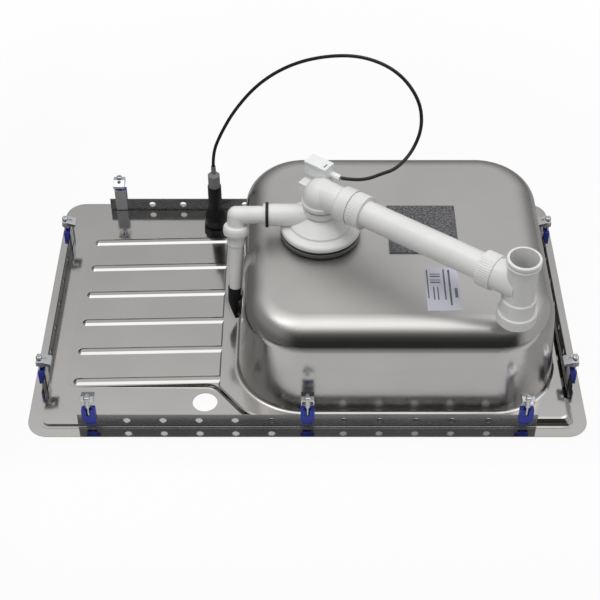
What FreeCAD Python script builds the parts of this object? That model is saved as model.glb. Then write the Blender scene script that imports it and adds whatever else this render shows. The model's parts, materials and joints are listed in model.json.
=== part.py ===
import FreeCAD, Part
import math
import os

V = FreeCAD.Vector
X_AXIS = V(1, 0, 0)
Y_AXIS = V(0, 1, 0)
Z_AXIS = V(0, 0, 1)

# Millimetres. The sink lies face down, as in the photograph: +Z points out of its underside,
# z = 0 is the worktop that the rim rests on, and the origin is the middle of the cut-out.

# Sheet and rim
sheet = 1.0
rim_length = 780.0
rim_width = 500.0
half_l = rim_length / 2.0
half_w = rim_width / 2.0
rim_corner_r = 30.0
seat_width = 15.0
land_rise = 0.3
step_inset = 20.5
deck_corner_r = 10.0
deck_rise = 3.0
bowl_deck_rise = 11.0
ledge_foot_out = 1.4
ledge_front_lean = 6.0
ledge_end_lean = 8.5
ledge_edge_rise = 1.4
ledge_edge_run = 2.4

# Bowl
bowl_length = 451.0
bowl_end_margin = 38.0
bowl_side_margin = 36.0
bowl_right = half_l - bowl_end_margin
bowl_left = bowl_right - bowl_length
bowl_half_width = half_w - bowl_side_margin
bowl_corner_r = 95.0
bowl_base_z = 150.0
bowl_inner_z = bowl_base_z - sheet
bowl_draft_deg = 4.0
bowl_side_draft_deg = 7.1
bowl_base_r = 40.0
bowl_lip_r = 5.0
seam_margin = 2.0

# Drainer
wet_margin = 45.0
wet_left = wet_margin - half_l
wet_corner_r = 20.0
ledge_width = 25.0
ledge_left = bowl_left - ledge_width
band_left = wet_left + 10.0
band_count = 6
band_rise = 2.0
band_near_top = 3.0
band_near_run = 4.0
band_far_top = 2.8
band_far_run = 4.2
band_end_run = 2.2
hole_margin = 61.5
hole_gap = 31.5
tap_hole_y = half_w - hole_margin
wet_half = tap_hole_y - hole_gap
band_pitch = 2.0 * (wet_half - band_near_top - band_near_run) / (band_count - 1)
curve_slope = 1.25
curve_near_r = 27.0
curve_far_r = 62.0
curve_lean = 4.5

# Holes in the sheet
tap_hole_r = 17.5
tap_hole_gap = 45.5
tap_hole_x = bowl_left - tap_hole_gap
waste_margin = 118.0
waste_x = bowl_left + waste_margin
waste_y = 4.0
waste_hole_r = 45.0
cutter = 10.0

# Edge strips that carry the clamps
strip_t = 1.2
strip_height = 25.5
strip_inset = 17.0
strip_end_gap = 72.0
long_strip_length = rim_length - 2.0 * strip_end_gap
short_strip_length = rim_width - 2.0 * strip_end_gap
strip_hole_r = 5.0
strip_hole_pitch = 50.0
strip_hole_z = 14.0
bead_r = 1.8
long_steps = int((long_strip_length / 2.0 - 2.0 * strip_hole_r) / strip_hole_pitch)
short_steps = int((short_strip_length / 2.0 - 2.0 * strip_hole_r) / strip_hole_pitch)

# Clamps
clamp_width = 19.0
clamp_gap = 0.3
run_gap = 0.1
holder_depth = 8.0
holder_foot_z = 9.5
holder_top_z = 32.0
holder_seat_z = 20.5
tongue_t = 1.8
tongue_half = 7.0
tongue_foot_z = 7.5
long_side_raise = 11.5
boss_gap = 0.3
plate_t = 1.5
plate_half_width = 9.0
plate_foot_z = 4.0
screw_out = 4.6
screw_r = 2.5
screw_travel = 12.0
barrel_r = 4.0
barrel_length = 13.0
head_r = 4.6
head_height = 3.7
head_slot = 1.2
claw_t = 1.6
claw_width = 18.0
claw_height = 8.0
claw_slope = 4.0
claw_inner = 12.0
claw_outer = 8.6
claw_hole_r = 2.6

# Things stuck to the bowl base
pad_reach = 147.0
pad_x = waste_x + pad_reach
pad_y = 13.0
pad_length = 99.0
pad_width = 103.0
pad_t = 2.0
label_reach = 167.0
label_x = waste_x + label_reach
label_margin = 102.0
label_y = label_margin - bowl_half_width
label_length = 46.0
label_width = 86.0
label_t = 0.3

# Strainer cup and plug
cup_flange_r = 56.0
cup_t = 1.5
cup_top_r = 43.0
cup_floor_r = 36.5
cup_depth = 24.0
cup_outlet_r = 20.0
plug_gap = 0.3
plug_wall_gap = 3.0
plug_t = 1.2
plug_rim = 2.0
seal_t = 3.0
seal_r = 25.0
grip_r = 7.0
grip_stem_r = 4.0
grip_height = 6.0
basket_holes = 16
pin_r = 3.0

# White waste body on its gasket
gasket_r = 56.8
gasket_t = 3.5
washer_ring_t = 5.0
washer_ring_bore = 50.0
gasket_top_z = bowl_base_z + 13.5
brim_r = 57.4
brim_side = 4.0
brim_round = 6.0
brim_top_z = gasket_top_z + 9.0
cone_foot_r = 44.5
cone_foot_rise = 4.0
cone_top_r = 23.5
cone_top_z = bowl_base_z + 41.0
throat_height = 4.5
neck_r = 20.0
neck_bore = 17.0
neck_top_z = bowl_base_z + 68.0
ring_r = 25.3
ring_foot_z = bowl_base_z + 45.0
ring_height = 8.5

# Outlet arm, along a slightly falling line from the waste to the tee
outlet_rise = 75.5
outlet_z = bowl_base_z + outlet_rise
outlet_turn_deg = -37.0
outlet_fall_deg = 1.2
elbow_foot_z = bowl_base_z + 57.7
elbow_stem_r = 25.3
elbow_rim_r = 27.0
elbow_rim_height = 7.0
elbow_r = 21.0
elbow_bore = 17.5
elbow_bore_back = 8.0
dome_z = outlet_z + elbow_r - elbow_stem_r
collar_r = 25.2
collar_start = 38.0
collar_end = 56.0
collar_ramp = 3.5
thread_r = 22.2
elbow_reach = 68.0
socket_depth = 12.0
lug_back = 34.0
lug_front = 20.0
lug_half = 8.0
lug_height = 12.0
lug_z = outlet_z + 1.5
spigot_r = 5.0
spigot_end = 19.6
pipe_r = 19.0
pipe_bore = 17.0
pipe_gap = 0.1
nut_wall = 2.4
nut_lip_t = 3.0
nut_gap = 1.5
rib_depth = 0.5
rib_count = 48
washer_t = 6.0
tee_reach = 322.0
tee_r = 20.5
tee_bore = 19.2
tee_bead_r = 23.0
tee_bead_height = 12.0
tee_top_rise = 128.0
tee_top_z = bowl_base_z + tee_top_rise
tee_collar_r = 23.3
tee_collar_top_z = bowl_base_z + 60.0
tee_foot_z = bowl_base_z + 26.0
branch_length = 48.0
branch_start = tee_reach - branch_length
cap_r = 27.0
cap_top_z = tee_foot_z + 10.0
cap_floor_t = 3.0
cap_washer_t = 2.0

# Lift lever and its housing on the elbow
housing_back = 37.0
housing_front = -2.0
housing_near = 11.3
housing_far = 31.0
housing_wall = 1.8
housing_foot_z = outlet_z + 11.5
housing_top_z = outlet_z + 32.5
chest_back = 20.0
chest_foot_z = outlet_z - 6.5
lid_lip = 0.8
lid_t = 3.2
lid_slot = 2.2
lever_x = -12.6
lever_z = outlet_z + 4.0
lever_length = 13.2
lever_turn_deg = 36.0
lever_tip_r = 2.5
lever_arm_t = 2.0
lever_hub_r = 4.5
lever_hub_end = 14.5
lever_hub_room = 1.5
lever_axle_r = 3.0
lever_pin_r = 2.0
lever_pin_gap = 0.06
lever_half_width = 3.0
wire_arm_half = 2.0
sleeve_y = 26.7
sleeve_z = outlet_z + 16.5
sleeve_r = 4.2
sleeve_bore = 1.5
sleeve_length = 16.0
wire_arm = sleeve_z - lever_z + wire_arm_half

# Overflow
overflow_z = bowl_base_z + 35.6
stub_r = 16.0
stub_bore = 12.0
stub_end_x = waste_x - 74.0
oring_r = 18.0
oring_t = 4.3
overflow_x = bowl_left - 2.0
overflow_r = 12.7
overflow_bore = 9.5
overflow_flange_t = 3.0
drop_to_x = bowl_left - 6.5
drop_to_y = waste_y - 29.0
drop_to_z = 62.0
overflow_nut_r = 18.6
overflow_nut_start = 15.5
overflow_nut_length = 16.5
overflow_nut_round = 3.0
pipe_collar_r = 12.5
pipe_collar_length = 16.0
overflow_pipe_r = 10.7
overflow_pipe_end_r = 8.4
overflow_pipe_bore = 6.5
overflow_hole_r = 9.5
overflow_hole_z = 40.0
fitting_r = 10.4
fitting_foot_r = 8.6
fitting_socket = 9.0
fitting_length = 40.0
fitting_cut_drop = 10.0
fitting_flange_r = 15.0
fitting_flange_t = 3.0
overflow_gasket_t = 2.0
grille_r = 20.0
grille_t = 1.5
grille_tube_r = 8.0
grille_slot = 2.5
grille_slot_pitch = 5.0

# Control through the deck
rosette_r = 25.0
rosette_t = 3.0
control_gasket_t = 1.2
control_sleeve_r = 16.0
lock_nut_r = 20.0
lock_nut_t = 7.0
bulge_r = 17.2
bulge_top_z = 46.0
control_neck_r = 10.6
control_neck_top_z = 88.0
control_bore = 8.8
control_bore_top_z = 35.0
gland_r = 9.2
gland_top_z = 113.5
gland_chamfer = 3.5
tip_r = 3.7
tip_top_z = 127.0
spindle_r = 5.0
spindle_gap = 0.08
spindle_top_z = 33.0
drum_r = 8.0
drum_foot_z = 18.0
drum_height = 11.0
knob_r = 22.0
knob_t = 10.5
knob_gap = 0.4
knob_edge_r = 2.0
knob_socket = 6.5
knob_grip_depth = 2.5
knob_grip_half = 4.0

# Cable: the first points are measured from the control's tip, the others from the waste axis and the base
cable_r = 2.5
cable_end_gap = 1.0
cable_from_control = [
    (0.5, 0.0, 25.0),
    (12.5, -0.5, 60.0),
    (37.0, -2.5, 110.0),
    (75.0, -8.5, 163.0),
    (122.5, -18.5, 202.0),
]
cable_to_waste = [
    (11.0, 151.0, 203.0),
    (61.0, 134.0, 213.0),
    (107.0, 113.0, 203.0),
    (137.0, 91.0, 173.0),
    (143.5, 72.0, 139.0),
    (130.0, 50.0, 111.0),
    (106.0, 27.0, 97.0),
    (84.0, 16.9, 96.0),
    (64.6, 7.8, 94.0),
    (43.9, 7.6, 93.0),
]

# Directions of the outlet arm
outlet_turn = math.radians(outlet_turn_deg)
outlet_fall = math.radians(outlet_fall_deg)
outlet_dir = V(math.cos(outlet_turn), math.sin(outlet_turn), 0)
arm_axis = outlet_dir * math.cos(outlet_fall) + Z_AXIS * math.sin(outlet_fall)


# Helpers
def outline(points):
    """Closed wire through corner points (x, y, radius); a radius rounds its corner."""
    edges = []
    count = len(points)
    starts = []
    ends = []
    mids = []
    for i in range(count):
        here = V(points[i][0], points[i][1], 0)
        back = (V(points[i - 1][0], points[i - 1][1], 0) - here).normalize()
        ahead = (V(points[(i + 1) % count][0], points[(i + 1) % count][1], 0) - here).normalize()
        r = points[i][2]
        half = back.getAngle(ahead) / 2.0
        cut = r / math.tan(half)
        middle = here + (back + ahead).normalize() * (r / math.sin(half) - r)
        starts.append(here + back * cut)
        ends.append(here + ahead * cut)
        mids.append(middle)
    for i in range(count):
        if points[i][2] > 0:
            edges.append(Part.Arc(starts[i], mids[i], ends[i]).toShape())
        if (starts[(i + 1) % count] - ends[i]).Length > 1e-6:
            edges.append(Part.LineSegment(ends[i], starts[(i + 1) % count]).toShape())
    return Part.Wire(edges)


def rectangle(x0, x1, y0, y1, r):
    return outline([(x0, y0, r), (x1, y0, r), (x1, y1, r), (x0, y1, r)])


def prism(wire, z0, z1):
    face = Part.Face(wire)
    face.translate(V(0, 0, z0))
    return face.extrude(V(0, 0, z1 - z0))


def box(x0, x1, y0, y1, z0, z1):
    return Part.makeBox(x1 - x0, y1 - y0, z1 - z0, V(x0, y0, z0))


def rod(r, start, end):
    return Part.makeCylinder(r, (end - start).Length, start, end - start)


def tube(r, bore, start, end):
    return rod(r, start, end).cut(rod(bore, start, end))


def turned(profile, at=V(0, 0, 0)):
    """Solid of revolution about a vertical axis through `at`, from (radius, z) points."""
    wire = Part.makePolygon([V(r, 0, z) for r, z in profile + profile[:1]])
    solid = Part.Face(wire).revolve(V(0, 0, 0), Z_AXIS, 360)
    solid.translate(at)
    return solid

def spun(profile, start, direction):
    """Solid of revolution about an axis from `start`, from (distance, radius) points along it."""
    wire = Part.makePolygon([V(s, r, 0) for s, r in profile + profile[:1]])
    solid = Part.Face(wire).revolve(V(0, 0, 0), X_AXIS, 360)
    solid.Placement = FreeCAD.Placement(start, FreeCAD.Rotation(X_AXIS, direction))
    return solid


def ribbed(r, start, end):
    """Grip with fine ribs along it, solid, from one point to another."""
    corners = []
    for i in range(2 * rib_count):
        turn = math.pi * i / rib_count
        here = r - rib_depth * (i % 2)
        corners.append((here * math.cos(turn), here * math.sin(turn), 0))
    grip = prism(outline(corners), 0, (end - start).Length)
    grip.Placement = FreeCAD.Placement(start, FreeCAD.Rotation(Z_AXIS, end - start))
    return grip


def arm_point(along, across=0.0, z=None):
    """Point in the outlet arm's own directions, on its axis unless a height is given."""
    side = Z_AXIS.cross(outlet_dir) * across
    if z is None:
        return V(waste_x, waste_y, outlet_z) + arm_axis * along + side
    return V(waste_x, waste_y, z) + outlet_dir * along + side


def arm_solid(shape):
    """Turns a solid drawn with the arm along +X, about the waste axis, into its place."""
    shape.rotate(V(0, 0, 0), Z_AXIS, outlet_turn_deg)
    shape.translate(V(waste_x, waste_y, 0))
    return shape


def edges_at(shape, z, tolerance=0.01):
    level = [e for e in shape.Edges if abs(e.BoundBox.ZMin - z) < tolerance]
    return [e for e in level if abs(e.BoundBox.ZMax - z) < tolerance]


def save(name, shape):
    shape.exportStep("parts/" + name + ".step")
    print(name, "solids", len(shape.Solids), "valid", shape.isValid(), "volume", round(shape.Volume, 1))


# Sheet metal
def wet_wire(z, inset, lean):
    """Outline of the lower-lying wet area at a height, drawn in by `inset` and, at the rim, by `lean` more."""
    y_edge = half_w - step_inset + ledge_foot_out - ledge_front_lean * lean - inset
    x_right = half_l - step_inset + ledge_foot_out - ledge_end_lean * lean - inset
    half_turn = math.atan(curve_slope) / 2.0
    step = inset - curve_lean * (1.0 - lean)
    x_from = tap_hole_x + 0.7 * tap_hole_r + step * math.tan(half_turn)
    y_wet = wet_half - step
    x_to = x_from + (y_edge - y_wet) / curve_slope
    near_r = curve_near_r + step
    far_r = curve_far_r - step
    corner = deck_corner_r
    wire = outline([
        (wet_left + step, -y_wet, wet_corner_r - step),
        (x_from, -y_wet, near_r),
        (x_to, -y_edge, far_r),
        (x_right, -y_edge, corner),
        (x_right, y_edge, corner),
        (x_to, y_edge, far_r),
        (x_from, y_wet, near_r),
        (wet_left + step, y_wet, wet_corner_r - step),
    ])
    wire.translate(V(0, 0, z))
    return wire


def wet_form(inset, foot):
    """Solid of the whole wet area: leaning at the rim, with a sloping edge round its top."""
    top = bowl_deck_rise - inset
    turn = top - ledge_edge_rise
    lean = (turn - land_rise) / (bowl_deck_rise - land_rise)
    lower = Part.makeLoft([wet_wire(foot, inset, 0.0), wet_wire(land_rise - inset, inset, 0.0)], True, True)
    wall = Part.makeLoft([wet_wire(land_rise - inset, inset, 0.0), wet_wire(turn, inset, lean)], True, True)
    edge = Part.makeLoft([wet_wire(turn, inset, lean), wet_wire(top, inset + ledge_edge_run, lean)], True, True)
    return lower.fuse([wall, edge])


def bowl_wire(z, inset):
    shrink = (z - bowl_deck_rise) * math.tan(math.radians(bowl_draft_deg)) + inset
    side = (z - bowl_deck_rise) * math.tan(math.radians(bowl_side_draft_deg)) + inset
    wire = rectangle(bowl_left + shrink, bowl_right - shrink, side - bowl_half_width,
                     bowl_half_width - side, bowl_corner_r - shrink)
    wire.translate(V(0, 0, z))
    return wire


def band_wire(x_from, x_to, y_near, y_far):
    """Flat outline of a band: straight sides and a round left end."""
    middle = (y_near + y_far) / 2.0
    tip = x_from - (y_far - y_near) / 2.0
    end = Part.Arc(V(x_from, y_far, 0), V(tip, middle, 0), V(x_from, y_near, 0)).toShape()
    corners = [V(x_from, y_near, 0), V(x_to, y_near, 0), V(x_to, y_far, 0), V(x_from, y_far, 0)]
    return Part.Wire(Part.makePolygon(corners).Edges + [end])


def drainer(inset, foot):
    """Sloping drainer panels with raised bands, drawn level and then tipped towards the bowl."""
    run = ledge_left - wet_left
    rise = bowl_deck_rise - band_rise - deck_rise
    depth = deck_rise - inset - foot
    slope = math.atan2(rise, run)
    right = ledge_left + inset
    ramp_x = right - band_end_run
    ramp_z = deck_rise - inset + rise * (ramp_x - wet_left) / run
    side = Part.makePolygon([V(wet_left, -half_w, foot), V(wet_left, -half_w, deck_rise - inset),
                             V(ramp_x, -half_w, ramp_z), V(right, -half_w, bowl_deck_rise - inset),
                             V(right, -half_w, foot), V(wet_left, -half_w, foot)])
    wedge = Part.Face(side).extrude(V(0, rim_width, 0))
    panels = wet_form(inset, foot).common(wedge)
    near_top = band_near_top - inset / 2.0
    far_top = band_far_top - inset / 2.0
    near = near_top + band_near_run
    far = far_top + band_far_run
    bands = []
    for i in range(band_count):
        y = (i - (band_count - 1) / 2.0) * band_pitch
        x0 = band_left + (near + far) / 2.0
        base = band_wire(x0, right, y - near, y + far)
        top = band_wire(x0, right, y - near_top, y + far_top)
        top.translate(Z_AXIS * band_rise)
        band = Part.makeLoft([base, top], True, True).fuse(prism(base, -depth, 0))
        band.rotate(V(wet_left, 0, 0), Y_AXIS, -math.degrees(slope))
        band.translate(V(0, 0, deck_rise - inset))
        bands.append(band)
    return panels.fuse(bands)


def pressed_form(inset, foot):
    """Everything that stands up from the rim, drawn in by `inset` for the sheet's other face."""
    far = seat_width + inset
    land_wire = rectangle(far - half_l, half_l - far, far - half_w, half_w - far, rim_corner_r - seat_width)
    land = prism(land_wire, foot, land_rise - inset)
    near = step_inset + inset
    deck_wire = rectangle(near - half_l, half_l - near, near - half_w, half_w - near, deck_corner_r)
    deck = prism(deck_wire, foot, deck_rise - inset)
    top_z = bowl_deck_rise - inset
    right_part = box(ledge_left + inset, half_l, -half_w, half_w, foot, top_z)
    ledge = wet_form(inset, foot).common(right_part)
    low_z = deck_rise
    bowl = Part.makeLoft([bowl_wire(low_z, inset), bowl_wire(bowl_base_z - inset, inset)], True, True)
    bowl = bowl.makeFillet(bowl_base_r - inset, edges_at(bowl, bowl_base_z - inset))
    hill = ledge.fuse(bowl)
    lip_edges = []
    for e in edges_at(hill, top_z):
        inside = e.BoundBox.XMin > bowl_left - 1.0 and e.BoundBox.XMax < bowl_right + 1.0
        if inside and e.BoundBox.YMax < bowl_half_width + 1.0 and e.BoundBox.YMin > -bowl_half_width - 1.0:
            lip_edges.append(e)
    hill = hill.makeFillet(bowl_lip_r + inset, lip_edges)
    return hill.fuse([drainer(inset, foot), deck, land])


def make_sheet():
    """Deck and bowl, pressed from one gauge of sheet and welded along a seam round the bowl."""
    rim = prism(rectangle(-half_l, half_l, -half_w, half_w, rim_corner_r), -sheet, 0)
    whole = rim.fuse(pressed_form(0.0, -sheet)).cut(pressed_form(sheet, -5.0 * sheet))
    for y in (-tap_hole_y, tap_hole_y):
        whole = whole.cut(rod(tap_hole_r, V(tap_hole_x, y, -cutter), V(tap_hole_x, y, cutter)))
    waste_at = V(waste_x, waste_y, bowl_base_z)
    whole = whole.cut(rod(waste_hole_r, waste_at - Z_AXIS * cutter, waste_at + Z_AXIS * cutter))
    whole = whole.cut(rod(overflow_hole_r, wall_point(-cutter), wall_point(cutter)))
    grow = bowl_lip_r + seam_margin
    seam = prism(rectangle(bowl_left - grow, bowl_right + grow, -bowl_half_width - grow,
                           bowl_half_width + grow, bowl_corner_r + grow), -cutter, bowl_base_z + cutter)
    return whole.cut(seam), whole.common(seam)


def on_base(x, y, length, width, thickness):
    """A flat piece stuck to the bowl's base, centred on x and y."""
    piece = Part.makeBox(length, width, thickness)
    piece.translate(V(x - length / 2.0, y - width / 2.0, bowl_base_z))
    return piece


# Edge strips and clamps
def make_strip(length, steps, x, y, turn):
    """One perforated strip, drawn along X with its outer face at y = 0, then turned into place."""
    strip = box(-length / 2.0, length / 2.0, 0, strip_t, land_rise, strip_height)
    for i in range(-steps, steps + 1):
        u = i * strip_hole_pitch
        strip = strip.cut(rod(strip_hole_r, V(u, -1, strip_hole_z), V(u, strip_t + 1, strip_hole_z)))
    bead = rod(bead_r, V(-length / 2.0, 0, land_rise), V(length / 2.0, 0, land_rise))
    bead = bead.common(box(-length, length, -bead_r - 1, strip_t, land_rise, strip_height))
    return placed(strip.fuse(bead), x, y, turn)


def placed(shape, x, y, turn, z=0):
    shape.rotate(V(0, 0, 0), Z_AXIS, turn)
    shape.translate(V(x, y, z))
    return shape


def clamp_places():
    """x, y and turn of each clamp, and how far it stands up: three on a long side and two on a short side."""
    x_side = half_l - strip_inset
    y_side = half_w - strip_inset
    along = long_steps * strip_hole_pitch
    across = short_steps * strip_hole_pitch
    places = [(i * along, -y_side, 0, long_side_raise) for i in (-1, 0, 1)]
    places += [(i * along, y_side, 180, long_side_raise) for i in (-1, 0, 1)]
    places += [(-x_side, i * across, -90, 0) for i in (-1, 1)]
    places += [(x_side, i * across, 90, 0) for i in (-1, 1)]
    return places


def make_holder(lift):
    """Plastic holder on the strip's outer face, with a tongue and a boss in the strip's hole."""
    half = clamp_width / 2.0
    top = holder_top_z + lift
    block = box(-half, half, -holder_depth, 0, holder_foot_z + lift, top)
    tongue = box(-tongue_half, tongue_half, -tongue_t, 0, tongue_foot_z, holder_foot_z + lift)
    boss = rod(strip_hole_r - boss_gap, V(0, -1, strip_hole_z), V(0, strip_t - run_gap, strip_hole_z))
    axis = V(0, -screw_out, 0)
    cradle = rod(barrel_r + clamp_gap, axis + Z_AXIS * (holder_seat_z + lift), axis + Z_AXIS * (top + 1))
    bore = rod(screw_r + run_gap, axis, axis + Z_AXIS * top)
    return block.fuse(tongue).cut([cradle, bore]).fuse(boss)


def make_backing_plate(lift):
    """Steel plate behind the strip and the holder."""
    top = holder_top_z + lift
    return box(-plate_half_width, plate_half_width, strip_t, strip_t + plate_t, plate_foot_z, top)


claw_foot_z = holder_top_z + screw_travel + clamp_gap
claw_top_z = claw_foot_z + claw_height


def side_prism(half, profile):
    """Solid with the given side view, in y and z, and a half width along x."""
    points = [V(-half, y, z) for y, z in profile + profile[:1]]
    return Part.Face(Part.makePolygon(points)).extrude(V(2.0 * half, 0, 0))


def make_claw():
    """Folded steel claw, turned inwards for fitting; it swings out about the screw."""
    half = claw_width / 2.0
    low_z = claw_top_z - claw_slope
    shell = side_prism(half, [(-claw_outer, claw_foot_z), (-claw_outer, claw_top_z), (0, claw_top_z),
                              (claw_inner, low_z), (claw_inner, claw_foot_z)])
    open_y = -claw_outer - 1
    under_z = claw_foot_z - 1
    roof_z = claw_top_z - claw_t
    back_y = claw_inner - claw_t
    hollow = side_prism(half - claw_t, [(open_y, under_z), (open_y, roof_z), (0, roof_z),
                                        (back_y, low_z - claw_t), (back_y, under_z)])
    claw = shell.cut(hollow)
    claw = claw.cut(rod(screw_r + run_gap, V(0, -screw_out, claw_foot_z), V(0, -screw_out, claw_top_z + 1)))
    hole_y = (claw_inner - screw_out) / 2.0
    return claw.cut(rod(claw_hole_r, V(0, hole_y, claw_foot_z), V(0, hole_y, claw_top_z + 1)))


def make_clamp_screw():
    """Slotted screw with the barrel that draws the claw down."""
    axis = V(0, -screw_out, 0)
    barrel_top = claw_top_z - claw_t - clamp_gap
    head_foot = claw_top_z + clamp_gap
    tail = screw_travel + clamp_gap + 1.0
    screw = rod(screw_r, axis + Z_AXIS * tail, axis + Z_AXIS * (head_foot + 0.5))
    barrel = rod(barrel_r, axis + Z_AXIS * (barrel_top - barrel_length), axis + Z_AXIS * barrel_top)
    head = rod(head_r, axis + Z_AXIS * head_foot, axis + Z_AXIS * (head_foot + head_height))
    head = head.makeFillet(head_height / 2.0, edges_at(head, head_foot + head_height))
    slot = box(-head_r, head_r, -head_slot / 2.0, head_slot / 2.0, head_foot + head_height / 2.0,
               head_foot + head_height + 1)
    slot.translate(axis)
    return screw.fuse([barrel, head.cut(slot)])


# Waste
def make_strainer_cup():
    face = bowl_inner_z
    floor_z = face + cup_depth
    cup = turned([(cup_top_r - cup_t, face - cup_t), (cup_flange_r, face - cup_t), (cup_flange_r, face),
                  (cup_top_r, face), (cup_floor_r, floor_z), (cup_outlet_r, floor_z),
                  (cup_outlet_r, floor_z - cup_t), (cup_floor_r - cup_t, floor_z - cup_t)])
    cup.translate(V(waste_x, waste_y, 0))
    return cup


def seal_top_z():
    return bowl_inner_z + cup_depth - cup_t - plug_gap


def make_basket():
    """Perforated basket that sits in the cup and carries the seal on its floor."""
    face = bowl_inner_z
    floor_z = seal_top_z() - seal_t
    low_r = cup_floor_r - cup_t - plug_wall_gap
    top_r = cup_top_r - cup_t - plug_wall_gap
    rim_r = top_r + plug_rim
    basket = turned([(top_r - plug_t, face - plug_t), (rim_r, face - plug_t), (rim_r, face), (top_r, face),
                     (low_r, floor_z), (0, floor_z), (0, floor_z - plug_t),
                     (low_r - plug_t, floor_z - plug_t)])
    grip = turned([(0, face), (grip_r, face), (grip_r, face + grip_height / 2.0),
                   (grip_stem_r, face + grip_height), (grip_stem_r, floor_z - plug_t), (0, floor_z - plug_t)])
    holes = []
    hole_ring_r = (seal_r + low_r) / 2.0
    for i in range(basket_holes):
        turn = 2.0 * math.pi * i / basket_holes
        at = V(hole_ring_r * math.cos(turn), hole_ring_r * math.sin(turn), floor_z - 5)
        holes.append(Part.makeCylinder((low_r - plug_t - seal_r) / 2.5, 10, at))
    basket = basket.cut(holes).fuse(grip)
    basket.translate(V(waste_x, waste_y, 0))
    return basket


def make_plug_seal():
    top = V(waste_x, waste_y, seal_top_z())
    return tube(seal_r, pin_r, top - Z_AXIS * seal_t, top)


def pin_top_z():
    raised = lever_length * math.sin(math.radians(lever_turn_deg / 2.0))
    return lever_z + raised - lever_tip_r - plug_gap


def make_lift_pin():
    return rod(pin_r, V(waste_x, waste_y, seal_top_z() - seal_t), V(waste_x, waste_y, pin_top_z()))


def make_waste_gasket():
    """Rubber ring on the bowl's base, and a thinner one under the brim."""
    at = V(waste_x, waste_y, bowl_base_z)
    top = V(waste_x, waste_y, gasket_top_z)
    lower = tube(gasket_r, waste_hole_r, at, at + Z_AXIS * gasket_t)
    upper = tube(gasket_r, washer_ring_bore, top - Z_AXIS * washer_ring_t, top)
    return Part.makeCompound([lower, upper])


def make_waste_body():
    """White cone with a rounded brim and the overflow's stub, hollow from the gasket to its neck."""
    at = V(waste_x, waste_y, 0)
    seat = bowl_base_z + gasket_t
    foot = gasket_top_z
    side_top = foot + brim_side
    rise = brim_top_z - side_top
    ring_top = foot - washer_ring_t
    outer = turned([(0, seat), (brim_r, seat), (brim_r, ring_top), (washer_ring_bore, ring_top),
                    (washer_ring_bore, foot), (brim_r, foot), (brim_r, side_top),
                    (brim_r - 0.15 * brim_round, side_top + 0.4 * rise),
                    (brim_r - 0.5 * brim_round, side_top + 0.75 * rise), (brim_r - brim_round, brim_top_z),
                    (cone_foot_r + 2.0, brim_top_z - 0.5), (cone_foot_r + 0.5, brim_top_z + 0.5),
                    (cone_foot_r, brim_top_z + cone_foot_rise), (cone_top_r, cone_top_z),
                    (neck_r, cone_top_z + 1.0), (neck_r, neck_top_z), (0, neck_top_z)], at)
    inner = turned([(0, seat - 1), (waste_hole_r, seat - 1), (waste_hole_r, foot + throat_height),
                    (neck_bore, cone_top_z), (neck_bore, neck_top_z + 1), (0, neck_top_z + 1)], at)
    middle = V(waste_x, waste_y, overflow_z)
    stub_end = V(stub_end_x, waste_y, overflow_z)
    body = outer.fuse(rod(stub_r, middle, stub_end)).cut(inner)
    return body.cut(rod(stub_bore, middle, stub_end - X_AXIS))


def make_neck_ring():
    """Ring on the waste's neck, notched where the stub passes under it."""
    foot = V(waste_x, waste_y, ring_foot_z)
    ring = tube(ring_r, neck_r, foot, foot + Z_AXIS * ring_height)
    middle = V(waste_x, waste_y, overflow_z)
    return ring.cut(rod(stub_r, middle, V(stub_end_x, waste_y, overflow_z)))


def make_elbow():
    """Outlet elbow: a domed stem on the neck, a barrel, and a collar with a thread for the nut."""
    at = V(waste_x, waste_y, 0)
    foot = at + Z_AXIS * elbow_foot_z
    rim_top = elbow_foot_z + elbow_rim_height
    stem = turned([(0, elbow_foot_z), (elbow_rim_r - 1.0, elbow_foot_z), (elbow_rim_r, elbow_foot_z + 1.0),
                   (elbow_rim_r, rim_top - 1.0), (elbow_stem_r, rim_top + 1.0), (elbow_stem_r, dome_z),
                   (0, dome_z)], at)
    dome = Part.makeSphere(elbow_stem_r, at + Z_AXIS * dome_z, Z_AXIS, 0, 90, 360)
    barrel = spun([(0, 0), (0, elbow_r), (collar_start - collar_ramp, elbow_r),
                   (collar_start, collar_r), (collar_end, collar_r), (collar_end, thread_r),
                   (elbow_reach, thread_r), (elbow_reach, 0)], arm_point(0), arm_axis)
    bores = [rod(neck_r + pipe_gap, at + Z_AXIS * ring_foot_z, at + Z_AXIS * neck_top_z),
             rod(neck_bore, foot, at + Z_AXIS * outlet_z),
             rod(elbow_bore, arm_point(-elbow_bore_back), arm_point(elbow_reach)),
             rod(pipe_r + pipe_gap, arm_point(elbow_reach - socket_depth), arm_point(elbow_reach + 1)),
             arm_solid(rod(lever_hub_r + lever_hub_room, V(lever_x, -2.0 * lever_half_width, lever_z),
                           V(lever_x, lever_hub_end + clamp_gap, lever_z))),
             arm_solid(rod(spigot_r, V(-lug_back, 0, lug_z), V(-spigot_end, 0, lug_z))),
             arm_solid(rod(lever_axle_r + lever_pin_gap, V(lever_x, housing_wall, lever_z),
                           V(lever_x, housing_far, lever_z)))]
    return stem.fuse([dome, barrel]).cut(bores)


def make_elbow_plug():
    """Block on the back of the elbow, with a spigot in the elbow's wall."""
    block = box(-lug_back, -lug_front, -lug_half, lug_half, lug_z - lug_height / 2.0, lug_z + lug_height / 2.0)
    at = V(waste_x, waste_y, 0)
    stem = rod(elbow_stem_r, at + Z_AXIS * elbow_foot_z, at + Z_AXIS * dome_z)
    dome = Part.makeSphere(elbow_stem_r, at + Z_AXIS * dome_z)
    spigot = rod(spigot_r, V(-lug_back + 1.0, 0, lug_z), V(-spigot_end, 0, lug_z))
    return arm_solid(block).cut([stem, dome]).fuse(arm_solid(spigot))


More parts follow.
